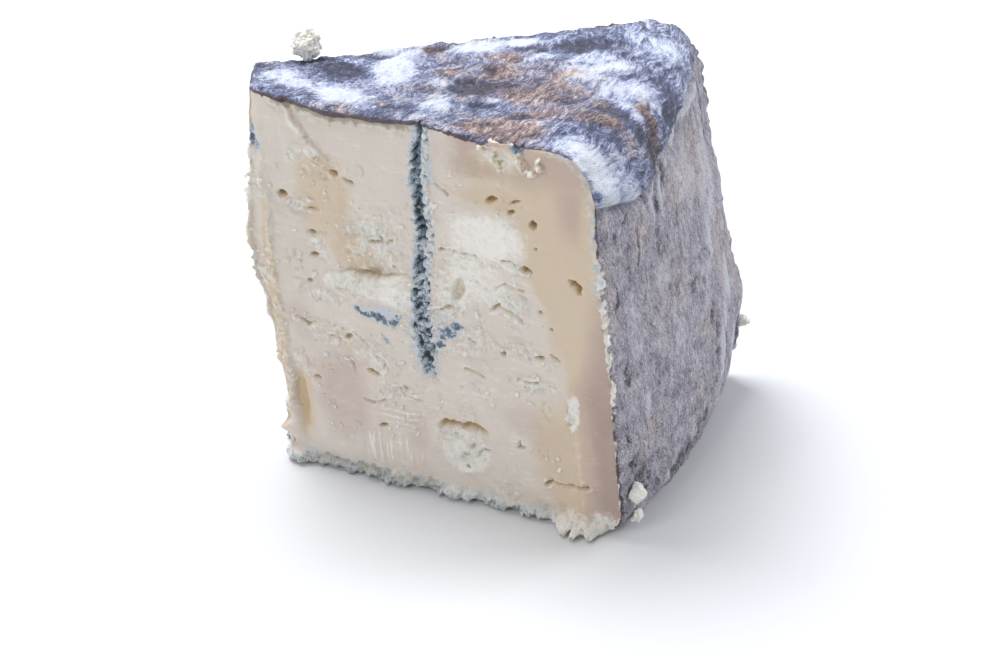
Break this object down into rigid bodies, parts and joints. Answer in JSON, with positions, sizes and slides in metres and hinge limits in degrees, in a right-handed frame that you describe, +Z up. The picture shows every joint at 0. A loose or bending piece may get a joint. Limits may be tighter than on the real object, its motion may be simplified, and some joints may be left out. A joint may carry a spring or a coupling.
{
  "type": "wedge of blue cheese",
  "caption": "Tall wedge of mould-ripened blue cheese with a mottled natural rind, straight knife-cut faces and a few crumbs clinging to it.",
  "frame": {"origin": "centre of the bounding box in plan, on the flat bottom", "axes": "+Z up; +X from the blunt tip, near the middle of the wheel, out to the rind, halfway between the two long cuts; -Y towards the shorter cut face"},
  "size_m": [0.1513, 0.0979, 0.1451],
  "materials": {
    "rind_and_paste": "ivory blue cheese paste, slightly moist, inside a dry mottled grey-brown and white natural rind",
    "crumb": "crumbly cheese paste, matt"
  },
  "bodies": {
    "root": {"cheese_wedge": "rind_and_paste", "crumb_top": "crumb", "crumb_side": "crumb", "crumb_corner_upper": "crumb", "crumb_corner_lower": "crumb"}
  },
  "joints": []
}
